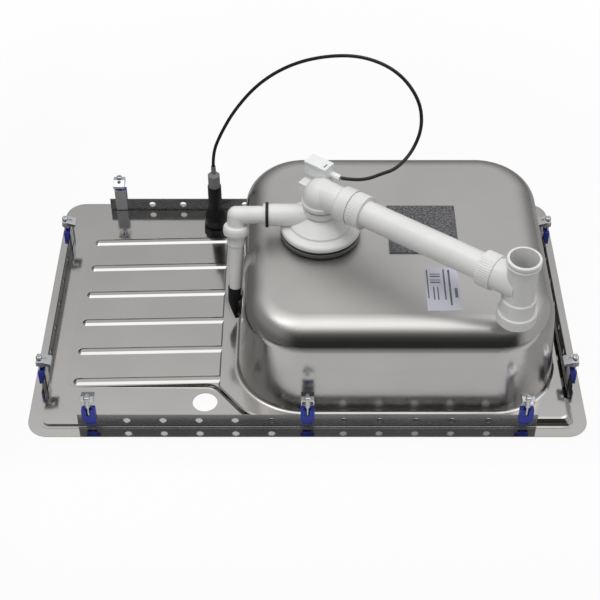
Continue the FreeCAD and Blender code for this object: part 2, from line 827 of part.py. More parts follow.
def make_union_nut(start, end, lip_start, lip_end):
    """Ribbed union nut on the arm, with a lip that holds the washer against the pipe."""
    first = min(start, lip_start)
    last = max(end, lip_end)
    grip = ribbed(thread_r + nut_wall, arm_point(first), arm_point(last))
    return grip.cut([rod(thread_r, arm_point(start), arm_point(end)),
                     rod(pipe_r + pipe_gap, arm_point(lip_start), arm_point(lip_end))])


def make_union_nuts():
    near_end = elbow_reach + washer_t
    near = make_union_nut(collar_end + nut_gap, near_end, near_end, near_end + nut_lip_t)
    far_start = branch_start - washer_t
    far = make_union_nut(far_start, branch_start + socket_depth, far_start - nut_lip_t, far_start)
    return Part.makeCompound([near, far])


def make_pipe():
    start = arm_point(elbow_reach - socket_depth)
    return tube(pipe_r, pipe_bore, start, arm_point(branch_start + socket_depth))


def make_washers():
    """Sealing washers: one behind each union nut's lip and one in the cap."""
    first = tube(thread_r, pipe_r + pipe_gap, arm_point(elbow_reach), arm_point(elbow_reach + washer_t))
    second = tube(thread_r, pipe_r + pipe_gap, arm_point(branch_start - washer_t), arm_point(branch_start))
    foot = arm_point(tee_reach, 0, tee_foot_z - cap_washer_t)
    third = rod(tee_collar_r, foot, foot + Z_AXIS * cap_washer_t)
    return Part.makeCompound([first, second, third])


def make_tee():
    """Tee: an upright with a double bead, a collar for the cap, and a branch that takes the arm's pipe."""
    at = arm_point(tee_reach, 0, 0)
    top = tee_top_z
    low = top - tee_bead_height
    dip = tee_bead_r - 1.5
    upright = turned([(0, tee_foot_z), (tee_collar_r, tee_foot_z), (tee_collar_r, tee_collar_top_z - 1.0),
                      (tee_collar_r - 1.0, tee_collar_top_z), (tee_r, tee_collar_top_z), (tee_r, low),
                      (tee_bead_r, low + 1.5), (tee_bead_r, low + 3.5), (dip, low + 4.5), (dip, low + 7.0),
                      (tee_bead_r, low + 8.0), (tee_bead_r, top - 1.0), (tee_bead_r - 1.0, top), (0, top)], at)
    branch = rod(thread_r, arm_point(branch_start), arm_point(tee_reach))
    bores = [rod(tee_bore, at + Z_AXIS * (tee_foot_z - 1), at + Z_AXIS * (top + 1)),
             rod(pipe_bore, arm_point(branch_start), arm_point(tee_reach)),
             rod(pipe_r + pipe_gap, arm_point(branch_start - 1), arm_point(branch_start + socket_depth))]
    return upright.fuse(branch).cut(bores)


def make_tee_cap():
    """Ribbed cap nut under the tee."""
    floor = arm_point(tee_reach, 0, tee_foot_z - cap_washer_t)
    top = arm_point(tee_reach, 0, cap_top_z)
    grip = ribbed(cap_r, floor - Z_AXIS * cap_floor_t, top)
    return grip.cut(rod(tee_collar_r, floor, top))


# Lift lever, housing and cable sleeve
def make_housing():
    """Clear housing behind the elbow, over the lever's axle and wire arm, with a slotted lid."""
    wall = housing_wall
    front = housing_front
    case = box(-housing_back, front, housing_near, housing_far, housing_foot_z, housing_top_z)
    chest = box(-chest_back, front, housing_near, housing_far, chest_foot_z, housing_foot_z + wall)
    lid = box(-housing_back - lid_lip, front + lid_lip, housing_near - lid_lip, housing_far + lid_lip,
              housing_top_z - lid_t, housing_top_z)
    inside = box(wall - housing_back, front - wall, housing_near + wall, housing_far - wall,
                 housing_foot_z + wall, housing_top_z - wall)
    well = box(wall - chest_back, front - wall, housing_near + wall, housing_far - wall,
               chest_foot_z + wall, housing_foot_z + 2.0 * wall)
    pivot = rod(lever_pin_r + lever_pin_gap, V(lever_x, housing_near, lever_z),
                V(lever_x, housing_far - wall / 3.0, lever_z))
    wire_hole = rod(sleeve_bore, V(front - 5, sleeve_y, sleeve_z), V(front + 5, sleeve_y, sleeve_z))
    slot_x = front - wall - 2.0 * lid_slot
    slot = box(slot_x, slot_x + lid_slot, housing_near + 2.0 * lid_slot, housing_far - 3.0 * lid_slot,
               housing_top_z - lid_t, housing_top_z + 1)
    housing = arm_solid(case.fuse([chest, lid]).cut([inside, well, pivot, wire_hole, slot]))
    at = V(waste_x, waste_y, 0)
    barrel = rod(elbow_r, arm_point(0), arm_point(collar_start))
    stem = rod(elbow_stem_r, at + Z_AXIS * elbow_foot_z, at + Z_AXIS * dome_z)
    dome = Part.makeSphere(elbow_stem_r, at + Z_AXIS * dome_z)
    return housing.cut([barrel, stem, dome])


def make_lever():
    """Lift lever: an axle through the elbow's wall, a finger over the pin, and an arm that the wire pulls."""
    half = lever_half_width
    pivot = V(lever_x, 0, lever_z)
    finger = box(0, lever_length, -half, half, -lever_arm_t / 2.0, lever_arm_t / 2.0)
    tip = rod(lever_tip_r, V(lever_length, -half, 0), V(lever_length, half, 0))
    arm = box(-wire_arm_half, wire_arm_half, sleeve_y - wire_arm_half, sleeve_y + wire_arm_half, 0, wire_arm)
    arms = finger.fuse([tip, arm])
    arms.rotate(V(0, 0, 0), Y_AXIS, -lever_turn_deg / 2.0)
    arms.translate(pivot)
    hub = rod(lever_hub_r, pivot - Y_AXIS * (half + 1.0), pivot + Y_AXIS * lever_hub_end)
    axle = rod(lever_axle_r, pivot, pivot + Y_AXIS * (housing_far - housing_wall - clamp_gap))
    trunnion = rod(lever_pin_r, pivot, pivot + Y_AXIS * (housing_far - housing_wall / 3.0 - run_gap))
    return arm_solid(arms.fuse([hub, axle, trunnion]))


def sleeve_ends():
    start = arm_point(housing_front, sleeve_y, sleeve_z)
    return start, start + outlet_dir * sleeve_length


def make_sleeve():
    """Clear sleeve between the housing and the cable's end."""
    start, end = sleeve_ends()
    return tube(sleeve_r, sleeve_bore, start, end)


def cable_points():
    """The route's points, from the control's tip to the sleeve's end."""
    tip = V(tap_hole_x, tap_hole_y, tip_top_z)
    base = V(waste_x, waste_y, bowl_base_z)
    points = [tip] + [tip + V(*p) for p in cable_from_control]
    points += [base + V(*p) for p in cable_to_waste]
    end = sleeve_ends()[1]
    back = (points[-1] - end).normalize()
    return points + [end + back * cable_end_gap]


def make_cable():
    """Cable along straight runs joined by tangent arcs."""
    points = cable_points()
    edges = []
    at = points[0]
    radii = []
    for i in range(1, len(points) - 1):
        back = points[i - 1] - points[i]
        ahead = points[i + 1] - points[i]
        half_turn = (math.pi - back.getAngle(ahead)) / 2.0
        cut = 0.45 * min(back.Length, ahead.Length)
        radius = cut / math.tan(half_turn)
        back.normalize()
        ahead.normalize()
        start = points[i] + back * cut
        end = points[i] + ahead * cut
        middle = points[i] + (back + ahead).normalize() * (radius / math.cos(half_turn) - radius)
        edges.append(Part.LineSegment(at, start).toShape())
        edges.append(Part.Arc(start, middle, end).toShape())
        radii.append(round(radius, 1))
        at = end
    edges.append(Part.LineSegment(at, points[-1]).toShape())
    path = Part.Wire(edges)
    section = Part.Wire(Part.makeCircle(cable_r, points[0], points[1] - points[0]))
    cable = path.makePipeShell([section], True, False)
    print("cable radii", radii)
    print("cable length", round(path.Length, 1), "volume", round(cable.Volume, 1),
          "section times length", round(math.pi * cable_r ** 2 * path.Length, 1))
    return cable

# Overflow
overflow_corner = V(overflow_x, waste_y, overflow_z)
drop_axis = V(drop_to_x, drop_to_y, drop_to_z) - overflow_corner
drop_length = drop_axis.Length
drop_axis.normalize()
nut_middle = overflow_nut_start + overflow_nut_length / 2.0
pipe_start = overflow_nut_start + overflow_nut_length + pipe_collar_length


def drop_point(s):
    """Point at distance s along the overflow pipe, from the elbow's corner."""
    return overflow_corner + drop_axis * s


def wall_point(out):
    """Point on the overflow hole's axis, `out` from the bowl wall's outer face."""
    draft = math.radians(bowl_draft_deg)
    x_wall = bowl_left + (overflow_hole_z - bowl_deck_rise) * math.tan(draft)
    y_hole = drop_point(drop_length + fitting_length / 2.0).y
    return V(x_wall, y_hole, overflow_hole_z) + V(-math.cos(draft), 0, math.sin(draft)) * out


def make_oring():
    start = V(stub_end_x, waste_y, overflow_z)
    return tube(oring_r, stub_bore, start, start - X_AXIS * oring_t)


def make_overflow_elbow():
    start = V(stub_end_x - oring_t, waste_y, overflow_z)
    end = drop_point(nut_middle)
    solid = rod(stub_r, start, start - X_AXIS * overflow_flange_t)
    solid = solid.fuse([rod(overflow_r, start, overflow_corner), Part.makeSphere(overflow_r, overflow_corner),
                        rod(overflow_r, overflow_corner, end)])
    return solid.cut([rod(overflow_bore, start + X_AXIS, overflow_corner),
                      Part.makeSphere(overflow_bore, overflow_corner),
                      rod(overflow_bore, overflow_corner, drop_point(nut_middle + 1))])


def make_overflow_nut():
    """Domed nut over the joint between the elbow and the pipe."""
    start = overflow_nut_start
    end = start + overflow_nut_length
    r = overflow_nut_r
    dome = overflow_nut_round
    return spun([(start, overflow_r), (start, r - 1.3 * dome), (start + 0.6 * dome, r - 0.4 * dome),
                 (start + 1.8 * dome, r), (end - 1.8 * dome, r), (end - 0.6 * dome, r - 0.4 * dome),
                 (end, r - 1.3 * dome), (end, overflow_r)], overflow_corner, drop_axis)


def pipe_outside():
    """Solid form of the overflow pipe: a collar in the nut, then a slow taper."""
    nut_end = overflow_nut_start + overflow_nut_length
    return spun([(nut_middle, 0), (nut_middle, overflow_r), (nut_end, overflow_r),
                 (nut_end, pipe_collar_r), (pipe_start - 1.5, pipe_collar_r),
                 (pipe_start, overflow_pipe_r), (drop_length, overflow_pipe_end_r), (drop_length, 0)],
                overflow_corner, drop_axis)


def make_overflow_pipe():
    return pipe_outside().cut(rod(overflow_pipe_bore, drop_point(0), drop_point(drop_length + 1)))


def make_overflow_fitting():
    """Dark fitting: a socket for the pipe and a flanged branch that seals on the bowl's wall."""
    half_length = fitting_length / 2.0
    end = drop_length + fitting_length
    middle = drop_point(drop_length + half_length)
    flange_foot = wall_point(overflow_gasket_t)
    flange = rod(fitting_flange_r, flange_foot, wall_point(overflow_gasket_t + fitting_flange_t))
    body = spun([(drop_length - fitting_socket, 0), (drop_length - fitting_socket, fitting_r),
                 (drop_length + fitting_socket, fitting_r), (end, fitting_foot_r), (end, 0)],
                overflow_corner, drop_axis)
    branch_end = wall_point(wall_point(0).x - middle.x)
    neck = rod(overflow_hole_r, flange_foot, branch_end)
    way = rod(overflow_pipe_bore, drop_point(drop_length - 1), middle - drop_axis * fitting_socket / 2.0)
    branch = rod(grille_tube_r, wall_point(0), branch_end)
    wall_side = rod(fitting_length, wall_point(-fitting_length), flange_foot)
    left = drop_point(drop_length + fitting_cut_drop) - X_AXIS * fitting_r
    right = drop_point(end) + X_AXIS * fitting_foot_r / 4.0
    far_left = V(left.x - fitting_length, 0, 0)
    corners = [left, right, V(right.x, 0, 0), far_left, far_left + Z_AXIS * left.z]
    flat = [V(c.x, -half_w, c.z) for c in corners + corners[:1]]
    slant = Part.Face(Part.makePolygon(flat)).extrude(V(0, rim_width, 0))
    return body.fuse([neck, flange]).cut([pipe_outside(), way, branch, wall_side, slant])


def make_overflow_gasket():
    return tube(fitting_flange_r, overflow_hole_r, wall_point(0), wall_point(overflow_gasket_t))


def make_grille():
    """Slotted disc inside the bowl, with a tube through the wall into the fitting."""
    inner = -sheet
    disc = rod(grille_r, wall_point(inner - grille_t), wall_point(inner))
    reach = overflow_gasket_t + fitting_flange_t
    pipe = tube(grille_tube_r, grille_tube_r - grille_t, wall_point(inner), wall_point(reach))
    slots = []
    for i in (-1, 0, 1):
        y = wall_point(0).y + i * grille_slot_pitch
        slots.append(box(bowl_left - 5, bowl_left + 20, y - grille_slot / 2.0, y + grille_slot / 2.0,
                         overflow_hole_z - grille_tube_r / 2.0, overflow_hole_z + grille_tube_r / 2.0))
    return disc.cut(slots).fuse(pipe)


# Control through the deck
control_at = V(tap_hole_x, tap_hole_y, 0)
rosette_top_z = deck_rise - sheet - control_gasket_t
rosette_foot_z = rosette_top_z - rosette_t


def make_rosette():
    foot = control_at + Z_AXIS * rosette_foot_z
    return tube(rosette_r, spindle_r + spindle_gap, foot, foot + Z_AXIS * rosette_t)


def make_control_gasket():
    top = control_at + Z_AXIS * (deck_rise - sheet)
    return tube(rosette_r - 1.0, control_sleeve_r, top - Z_AXIS * control_gasket_t, top)


def make_lock_nut():
    """Eight-sided nut that clamps the control to the deck."""
    corners = []
    for i in range(8):
        turn = math.pi * (2 * i + 1) / 8.0
        corners.append((lock_nut_r * math.cos(turn), lock_nut_r * math.sin(turn), 0))
    nut = prism(outline(corners), deck_rise, deck_rise + lock_nut_t)
    nut.translate(control_at)
    return nut.cut(rod(control_sleeve_r, control_at, control_at + Z_AXIS * bulge_top_z))


def make_control_body():
    """Threaded sleeve through the deck, a ball-like swelling over the drum and a neck for the gland."""
    nut_top = deck_rise + lock_nut_t
    rise = bulge_top_z - nut_top
    body = turned([(0, rosette_top_z), (control_sleeve_r, rosette_top_z), (control_sleeve_r, nut_top),
                   (0.97 * bulge_r, nut_top + 0.1 * rise), (bulge_r, nut_top + 0.25 * rise),
                   (bulge_r, nut_top + 0.42 * rise), (0.95 * bulge_r, nut_top + 0.58 * rise),
                   (0.84 * bulge_r, nut_top + 0.76 * rise), (0.7 * bulge_r, nut_top + 0.9 * rise),
                   (control_neck_r, bulge_top_z), (control_neck_r, control_neck_top_z),
                   (0, control_neck_top_z)], control_at)
    return body.cut([rod(control_bore, control_at - Z_AXIS * 5, control_at + Z_AXIS * control_bore_top_z),
                     rod(cable_r / 2.0, control_at, control_at + Z_AXIS * (control_neck_top_z + 1))])


def make_gland():
    top = gland_top_z
    foot = control_neck_top_z
    bore = cable_r / 2.0
    return turned([(bore, foot), (gland_r, foot), (gland_r, top - gland_chamfer),
                   (gland_r - gland_chamfer, top), (tip_r, top), (tip_r, tip_top_z), (bore, tip_top_z)], control_at)


def make_spindle():
    """Spindle from the knob, with the drum that winds the cable's wire."""
    knob_top = rosette_foot_z - knob_gap
    foot = control_at + Z_AXIS * (knob_top - knob_socket)
    shaft = rod(spindle_r, foot, control_at + Z_AXIS * spindle_top_z)
    drum = rod(drum_r, control_at + Z_AXIS * drum_foot_z, control_at + Z_AXIS * (drum_foot_z + drum_height))
    return shaft.fuse(drum)


def make_knob():
    """Low turning knob on the sink's face, with two finger hollows."""
    top = rosette_foot_z - knob_gap
    foot = top - knob_t
    knob = rod(knob_r, control_at + Z_AXIS * foot, control_at + Z_AXIS * top)
    knob = knob.makeFillet(knob_edge_r, edges_at(knob, foot))
    for side in (-1, 1):
        y0 = tap_hole_y + side * 2.0 * knob_grip_half - knob_grip_half
        hollow = box(tap_hole_x - knob_r, tap_hole_x + knob_r, y0, y0 + 2.0 * knob_grip_half,
                     foot - 1, foot + knob_grip_depth)
        knob = knob.cut(hollow)
    socket = rod(spindle_r, control_at + Z_AXIS * (top - knob_socket), control_at + Z_AXIS * (top + 1))
    return knob.cut(socket)


def main():
    os.makedirs("parts", exist_ok=True)

    deck, bowl = make_sheet()
    save("sink_deck", deck)
    save("sink_bowl", bowl)
    x_side = half_l - strip_inset
    y_side = half_w - strip_inset
    save("strips_long", Part.makeCompound([make_strip(long_strip_length, long_steps, 0, -y_side, 0),
                                           make_strip(long_strip_length, long_steps, 0, y_side, 180)]))
    save("strips_short", Part.makeCompound([make_strip(short_strip_length, short_steps, -x_side, 0, -90),
                                            make_strip(short_strip_length, short_steps, x_side, 0, 90)]))
    save("sound_pad", on_base(pad_x, pad_y, pad_length, pad_width, pad_t))
    save("paper_label", on_base(label_x, label_y, label_length, label_width, label_t))

    save("clamp_holders", Part.makeCompound([placed(make_holder(p[3]), *p[:3]) for p in clamp_places()]))
    save("clamp_plates", Part.makeCompound([placed(make_backing_plate(p[3]), *p[:3]) for p in clamp_places()]))
    for i, place in enumerate(clamp_places(), 1):
        save("claw_%02d" % i, placed(make_claw(), *place))
        save("clamp_screw_%02d" % i, placed(make_clamp_screw(), *place))

    save("strainer_cup", make_strainer_cup())
    save("waste_gasket", make_waste_gasket())
    save("waste_body", make_waste_body())
    save("strainer_basket", make_basket())
    save("plug_seal", make_plug_seal())
    save("lift_pin", make_lift_pin())
    save("neck_ring", make_neck_ring())
    save("outlet_elbow", make_elbow())
    save("elbow_plug", make_elbow_plug())
    save("union_nuts", make_union_nuts())
    save("pipe_washers", make_washers())
    save("outlet_pipe", make_pipe())
    save("outlet_tee", make_tee())
    save("tee_cap", make_tee_cap())

    save("lever_housing", make_housing())
    save("lift_lever", make_lever())
    save("cable_sleeve", make_sleeve())
    save("bowden_cable", make_cable())

    save("overflow_ring", make_oring())
    save("overflow_elbow", make_overflow_elbow())
    save("overflow_nut", make_overflow_nut())
    save("overflow_pipe", make_overflow_pipe())
    save("overflow_fitting", make_overflow_fitting())
    save("overflow_gasket", make_overflow_gasket())
    save("overflow_grille", make_grille())

    save("control_rosette", make_rosette())
    save("control_gasket", make_control_gasket())
    save("control_lock_nut", make_lock_nut())
    save("control_body", make_control_body())
    save("control_gland", make_gland())
    save("control_spindle", make_spindle())
    save("control_knob", make_knob())


main()
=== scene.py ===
import json
import math

import bpy
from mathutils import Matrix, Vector


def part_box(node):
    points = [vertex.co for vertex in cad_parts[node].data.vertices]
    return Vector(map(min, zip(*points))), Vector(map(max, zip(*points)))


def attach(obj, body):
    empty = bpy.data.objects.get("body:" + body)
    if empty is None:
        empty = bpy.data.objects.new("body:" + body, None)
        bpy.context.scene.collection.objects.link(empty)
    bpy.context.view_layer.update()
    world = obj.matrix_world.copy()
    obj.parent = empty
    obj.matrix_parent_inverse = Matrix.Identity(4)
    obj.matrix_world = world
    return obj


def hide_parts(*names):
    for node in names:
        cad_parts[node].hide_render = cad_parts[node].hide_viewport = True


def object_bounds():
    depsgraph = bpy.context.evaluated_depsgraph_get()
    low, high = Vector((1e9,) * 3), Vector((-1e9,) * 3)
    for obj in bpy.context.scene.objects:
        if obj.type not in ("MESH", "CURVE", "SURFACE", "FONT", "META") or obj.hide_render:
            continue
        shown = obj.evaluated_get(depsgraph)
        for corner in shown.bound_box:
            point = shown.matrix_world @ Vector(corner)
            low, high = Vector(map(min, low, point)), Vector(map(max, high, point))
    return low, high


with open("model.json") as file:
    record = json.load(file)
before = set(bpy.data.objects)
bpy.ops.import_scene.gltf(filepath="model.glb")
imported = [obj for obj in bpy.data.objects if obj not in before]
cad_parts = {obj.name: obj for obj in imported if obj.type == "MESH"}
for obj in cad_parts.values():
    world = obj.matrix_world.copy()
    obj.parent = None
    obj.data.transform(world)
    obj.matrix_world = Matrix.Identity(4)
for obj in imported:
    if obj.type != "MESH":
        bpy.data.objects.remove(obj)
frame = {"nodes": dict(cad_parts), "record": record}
cad_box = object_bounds()
nodes = frame["nodes"]
scene = bpy.context.scene

# Metres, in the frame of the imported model: the sink lies face down and +Z is out of its underside.

# Camera, fitted to the photograph
CAMERA_AT = (-0.0104, -1.5, 1.463)
CAMERA_TILT_DEG = 46.14
CAMERA_LENS_MM = 83.16
CAMERA_SENSOR_MM = 36.0

# Studio light by angle: degrees from overhead towards the front (negative: towards the back), and its level
STUDIO = [
    (-180.0, 0.06),
    (-120.0, 0.14),
    (-88.0, 0.22),
    (-70.0, 0.38),
    (-58.0, 0.58),
    (-46.0, 0.72),
    (-31.0, 1.20),
    (-20.0, 1.70),
    (-5.0, 2.10),
    (10.0, 1.90),
    (20.0, 1.20),
    (28.0, 0.58),
    (42.0, 0.19),
    (57.0, 0.07),
    (75.0, 0.04),
    (128.0, 0.03),
    (180.0, 0.06),
]
STUDIO_PEAK = max(level for _, level in STUDIO)
# Levels at the two sides, high up and low down
STUDIO_LEFT = 0.40
STUDIO_LEFT_LOW = 0.20
STUDIO_RIGHT = 0.60
STUDIO_RIGHT_LOW = 0.55
# Between which X the sides fade in and turn from left to right, and between which Z low turns to high
LEFT_FADE = (-0.74, -0.20)
RIGHT_FADE = (0.55, 0.85)
SIDE_TURN = (-0.5, 0.5)
LOW_FADE = (0.10, 0.65)
# A small bright panel at the left: where it is, how wide as a cosine, and its level
PANEL_AT = (-0.38, 0.06, 0.92)
PANEL_COS = 0.982
PANEL_LEVEL = 3.0
# Soft lights for the plastics, kept out of the steel's mirror: place, what they face, size and watts
LAMPS = {
    "key": ((-0.5, -0.3, 2.2), (-0.5, -0.3, 0.0), 0.9, 12.7),
    "fill": ((-0.3, -2.2, 1.1), (0.0, 0.0, 0.15), 1.2, 10.8),
}
FLOOR_RADIUS = 1.2
FLOOR_SIDES = 96
# Share of plain white in the floor as the camera sees it
FLOOR_GLOW = 0.96
# Between which shares of the radius that rises to all
FLOOR_GLOW_FADE = (0.5, 0.95)
# The floor's tone by distance in front of the sink's middle, as the steel mirrors it: painted shade, dark
# under the sink, light just in front of it and darkening further ahead
FLOOR_SHADE_TONES = [
    (0.0, 0.35),
    (0.27, 0.35),
    (0.30, 0.66),
    (0.39, 0.62),
    (0.43, 0.50),
    (0.52, 0.30),
    (0.72, 0.15),
    (1.2, 0.06),
]
# Share of that tone at the left of the sink, painted shade darkening the floor there, and between which X
# it rises to all
FLOOR_LEFT = 0.35
FLOOR_LEFT_FADE = (-0.46, -0.36)

# Cable, with the route's points between the control's tip and the sleeve
CABLE_DIAMETER = 0.005
CABLE_RING_STEPS = 8
CABLE_ROUTE_STEPS = 12
CABLE_ROUTE = [
    (-0.1445, 0.1885, 0.1270),
    (-0.1440, 0.1885, 0.1520),
    (-0.1320, 0.1880, 0.1870),
    (-0.1075, 0.1860, 0.2370),
    (-0.0695, 0.1800, 0.2900),
    (-0.0220, 0.1700, 0.3290),
    (0.0300, 0.1550, 0.3530),
    (0.0800, 0.1380, 0.3630),
    (0.1260, 0.1170, 0.3530),
    (0.1560, 0.0950, 0.3230),
    (0.1625, 0.0760, 0.2890),
    (0.1490, 0.0540, 0.2610),
    (0.1250, 0.0310, 0.2470),
    (0.1030, 0.0209, 0.2460),
    (0.0836, 0.0118, 0.2440),
    (0.0629, 0.0116, 0.2430),
    (0.047201, 0.016594, 0.242057),
]

# Edges: the angles that count as a crease or an edge, and each piece's round
CREASE_ANGLE_DEG = 17.0
EDGE_ANGLE_DEG = 25.0
EDGE_SEGMENTS = 3
WELD_GAP = 0.00001
CLAW_COUNT = 10
CLAW_ROUND = 0.0005
EDGE_ROUNDS = {"clamp_holders": 0.0006, "clamp_plates": 0.0003, "lever_housing": 0.0005}
for i in range(1, CLAW_COUNT + 1):
    EDGE_ROUNDS["claw_%02d" % i] = CLAW_ROUND

# Steel's darker and lighter tone, and the far strip's lighter tone beside the near strip's painted shade
STEEL_DARK = (0.595, 0.582, 0.566)
STEEL_LIGHT = (0.635, 0.622, 0.606)
FAR_STRIP = (0.62, 0.62, 0.63)
# Y at which the near strip's painted shade ends and the far strip's lighter tone begins
STRIP_SHADE_TURN = (-0.1, 0.1)
# Grain of each finish, as noise scales along X, Y and Z
SHEET_GRAIN = (12.0, 900.0, 900.0)
STRIP_GRAIN = (30.0, 30.0, 300.0)
SMALL_PART_GRAIN = (220.0, 220.0, 220.0)
BRIGHT_GRAIN = (200.0, 200.0, 200.0)
CHROME_GRAIN = (90.0, 90.0, 90.0)
PLASTIC_GRAIN = (900.0, 900.0, 900.0)
FELT_GRAIN = (420.0, 420.0, 420.0)
PAPER_GRAIN = (60.0, 60.0, 60.0)
METAL_CLOUD = (9.0, 9.0, 9.0)
PLASTIC_CLOUD = (30.0, 30.0, 30.0)
# Depths of the bumps that the grains make
METAL_BUMP = 0.0002
PLASTIC_BUMP = 0.0003
FELT_BUMP = 0.0005
# Heights between which a finish changes, on the bowl and on the waste
BOWL_ROUND = (0.080, 0.108)
BOWL_BASE = (0.139, 0.149)
WASTE_FOOT = (0.1580, 0.1595)

# Plain stripes printed on the label, as shares of its width and length: from x, to x, from y, to y
STRIPES = [
    (0.05, 0.09, 0.28, 0.95),
    (0.55, 0.60, 0.25, 0.97),
    (0.70, 0.76, 0.12, 0.95),
    (0.16, 0.46, 0.84, 0.86),
    (0.16, 0.46, 0.78, 0.81),
    (0.16, 0.46, 0.70, 0.72),
    (0.16, 0.46, 0.64, 0.67),
    (0.22, 0.26, 0.25, 0.55),
    (0.34, 0.38, 0.25, 0.55),
    (0.86, 0.95, 0.30, 0.52),
]


# Shader helpers
class Shader:
    """A new material's node tree, with short calls for the nodes that the finishes share."""

    def __init__(self, name):
        self.material = bpy.data.materials.new(name)
        self.material.use_nodes = True
        self.tree = self.material.node_tree
        self.surface = self.tree.nodes["Principled BSDF"]
        self.place = self.node("ShaderNodeTexCoord").outputs["Object"]

    def node(self, kind, **settings):
        made = self.tree.nodes.new(kind)
        for key, value in settings.items():
            setattr(made, key, value)
        return made

    def link(self, output, socket):
        self.tree.links.new(output, socket)

    def set(self, **values):
        for key, value in values.items():
            self.surface.inputs[key.replace("_", " ")].default_value = value

    def axes(self):
        """Splits the place into X, Y and Z."""
        split = self.node("ShaderNodeSeparateXYZ")
        self.link(self.place, split.inputs["Vector"])
        return split

    def scaled(self, scale):
        mapping = self.node("ShaderNodeMapping")
        mapping.inputs["Scale"].default_value = scale
        self.link(self.place, mapping.inputs["Vector"])
        return mapping.outputs["Vector"]

    def noise(self, scale, detail=3.0, roughness=0.5):
        texture = self.node("ShaderNodeTexNoise")
        texture.inputs["Scale"].default_value = 1.0
        texture.inputs["Detail"].default_value = detail
        texture.inputs["Roughness"].default_value = roughness
        self.link(self.scaled(scale), texture.inputs["Vector"])
        return texture.outputs["Fac"]

    def spread(self, value, low, high, start=0.3, end=0.7):
        """Maps start..end, by default a noise's middle range, to low..high."""
        change = self.node("ShaderNodeMapRange")
        change.inputs["From Min"].default_value = start
        change.inputs["From Max"].default_value = end
        change.inputs["To Min"].default_value = low
        change.inputs["To Max"].default_value = high
        self.link(value, change.inputs["Value"])
        return change.outputs["Result"]

    def blend(self, factor, first, second):
        mix = self.node("ShaderNodeMix", data_type="RGBA")
        mix.inputs["A"].default_value = (*first, 1.0)
        mix.inputs["B"].default_value = (*second, 1.0)
        self.link(factor, mix.inputs["Factor"])
        return mix.outputs["Result"]

    def maths(self, operation, first, second):
        made = self.node("ShaderNodeMath", operation=operation)
        self.link(first, made.inputs[0])
        self.link(second, made.inputs[1])
        return made.outputs["Value"]

    def bump(self, height, strength, distance):
        bump = self.node("ShaderNodeBump")
        bump.inputs["Strength"].default_value = strength
        bump.inputs["Distance"].default_value = distance
        self.link(height, bump.inputs["Height"])
        self.link(bump.outputs["Normal"], self.surface.inputs["Normal"])


def brushed(name, dark, light, rough, grain, strength):
    """Metal with a fine grain and a slight unevenness of tone."""
    s = Shader(name)
    lines = s.noise(grain, detail=4.0, roughness=0.6)
    cloud = s.noise(METAL_CLOUD, detail=2.0)
    s.link(s.blend(s.spread(cloud, 0.0, 1.0), dark, light), s.surface.inputs["Base Color"])
    s.link(s.spread(lines, rough[0], rough[1]), s.surface.inputs["Roughness"])
    s.set(Metallic=1.0)
    s.bump(lines, strength, METAL_BUMP)
    return s


def metal(*finish):
    """A brushed finish with nothing added."""
    return brushed(*finish).material


def pressed_steel():
    """The deck's sheet, bright and flat enough to mirror what stands on it."""
    return metal("steel", STEEL_DARK, STEEL_LIGHT, (0.10, 0.14), SHEET_GRAIN, 0.03)


def strip_steel():
    """The long strips' steel, darkened by painted shade on the near strip and lighter on the far strip."""
    s = brushed("strip_steel", (0.34, 0.34, 0.345), (0.42, 0.42, 0.425), (0.22, 0.30), STRIP_GRAIN, 0.03)
    axes = s.axes()
    mix = s.node("ShaderNodeMix", data_type="RGBA")
    # Painted shade: the near strip's dark tone gives way here to the far strip's lighter one
    s.link(s.spread(axes.outputs["Y"], 0.0, 1.0, *STRIP_SHADE_TURN), mix.inputs["Factor"])
    s.link(s.surface.inputs["Base Color"].links[0].from_socket, mix.inputs["A"])
    mix.inputs["B"].default_value = (*FAR_STRIP, 1.0)
    s.link(mix.outputs["Result"], s.surface.inputs["Base Color"])
    return s.material


def drawn_steel():
    """The bowl's sheet: dull walls and base, with a brighter stretched round between them."""
    s = brushed("drawn_steel", STEEL_DARK, STEEL_LIGHT, (-0.03, 0.03), SHEET_GRAIN, 0.03)
    grain = s.surface.inputs["Roughness"].links[0].from_socket
    axes = s.axes()
    wall = s.spread(axes.outputs["Z"], 0.23, 0.13, *BOWL_ROUND)
    base = s.spread(axes.outputs["Z"], 0.0, 0.28, *BOWL_BASE)
    s.link(s.maths("ADD", s.maths("ADD", wall, base), grain), s.surface.inputs["Roughness"])
    return s.material


def moulded(name, dark, light, rough, strength=0.04, coat=0.0):
    """Moulded plastic: slight unevenness of colour and sheen."""
    s = Shader(name)
    cloud = s.noise(PLASTIC_CLOUD, detail=3.0)
    grain = s.noise(PLASTIC_GRAIN, detail=2.0)
    s.link(s.blend(s.spread(cloud, 0.0, 1.0), dark, light), s.surface.inputs["Base Color"])
    s.link(s.spread(cloud, rough[0], rough[1]), s.surface.inputs["Roughness"])
    s.set(Coat_Weight=coat)
    s.bump(grain, strength, PLASTIC_BUMP)
    return s.material


def felt(name, dark, light):
    """Matted pad of dark and light fibres."""
    s = Shader(name)
    fibres = s.noise(FELT_GRAIN, detail=3.0, roughness=0.7)
    s.link(s.blend(s.spread(fibres, 0.0, 1.0, 0.36, 0.64), dark, light), s.surface.inputs["Base Color"])
    s.set(Roughness=0.85)
    s.bump(fibres, 0.4, FELT_BUMP)
    return s.material


def waste_plastic():
    """White plastic with a dark grey band at its foot."""
    s = Shader("waste_plastic")
    axes = s.axes()
    grain = s.noise(PLASTIC_GRAIN, detail=2.0)
    height = s.spread(axes.outputs["Z"], 0.0, 1.0, *WASTE_FOOT)
    s.link(s.blend(height, (0.10, 0.10, 0.105), (0.775, 0.775, 0.765)), s.surface.inputs["Base Color"])
    s.link(s.spread(grain, 0.30, 0.38), s.surface.inputs["Roughness"])
    s.set(Coat_Weight=0.1)
    s.bump(grain, 0.03, PLASTIC_BUMP)
    return s.material


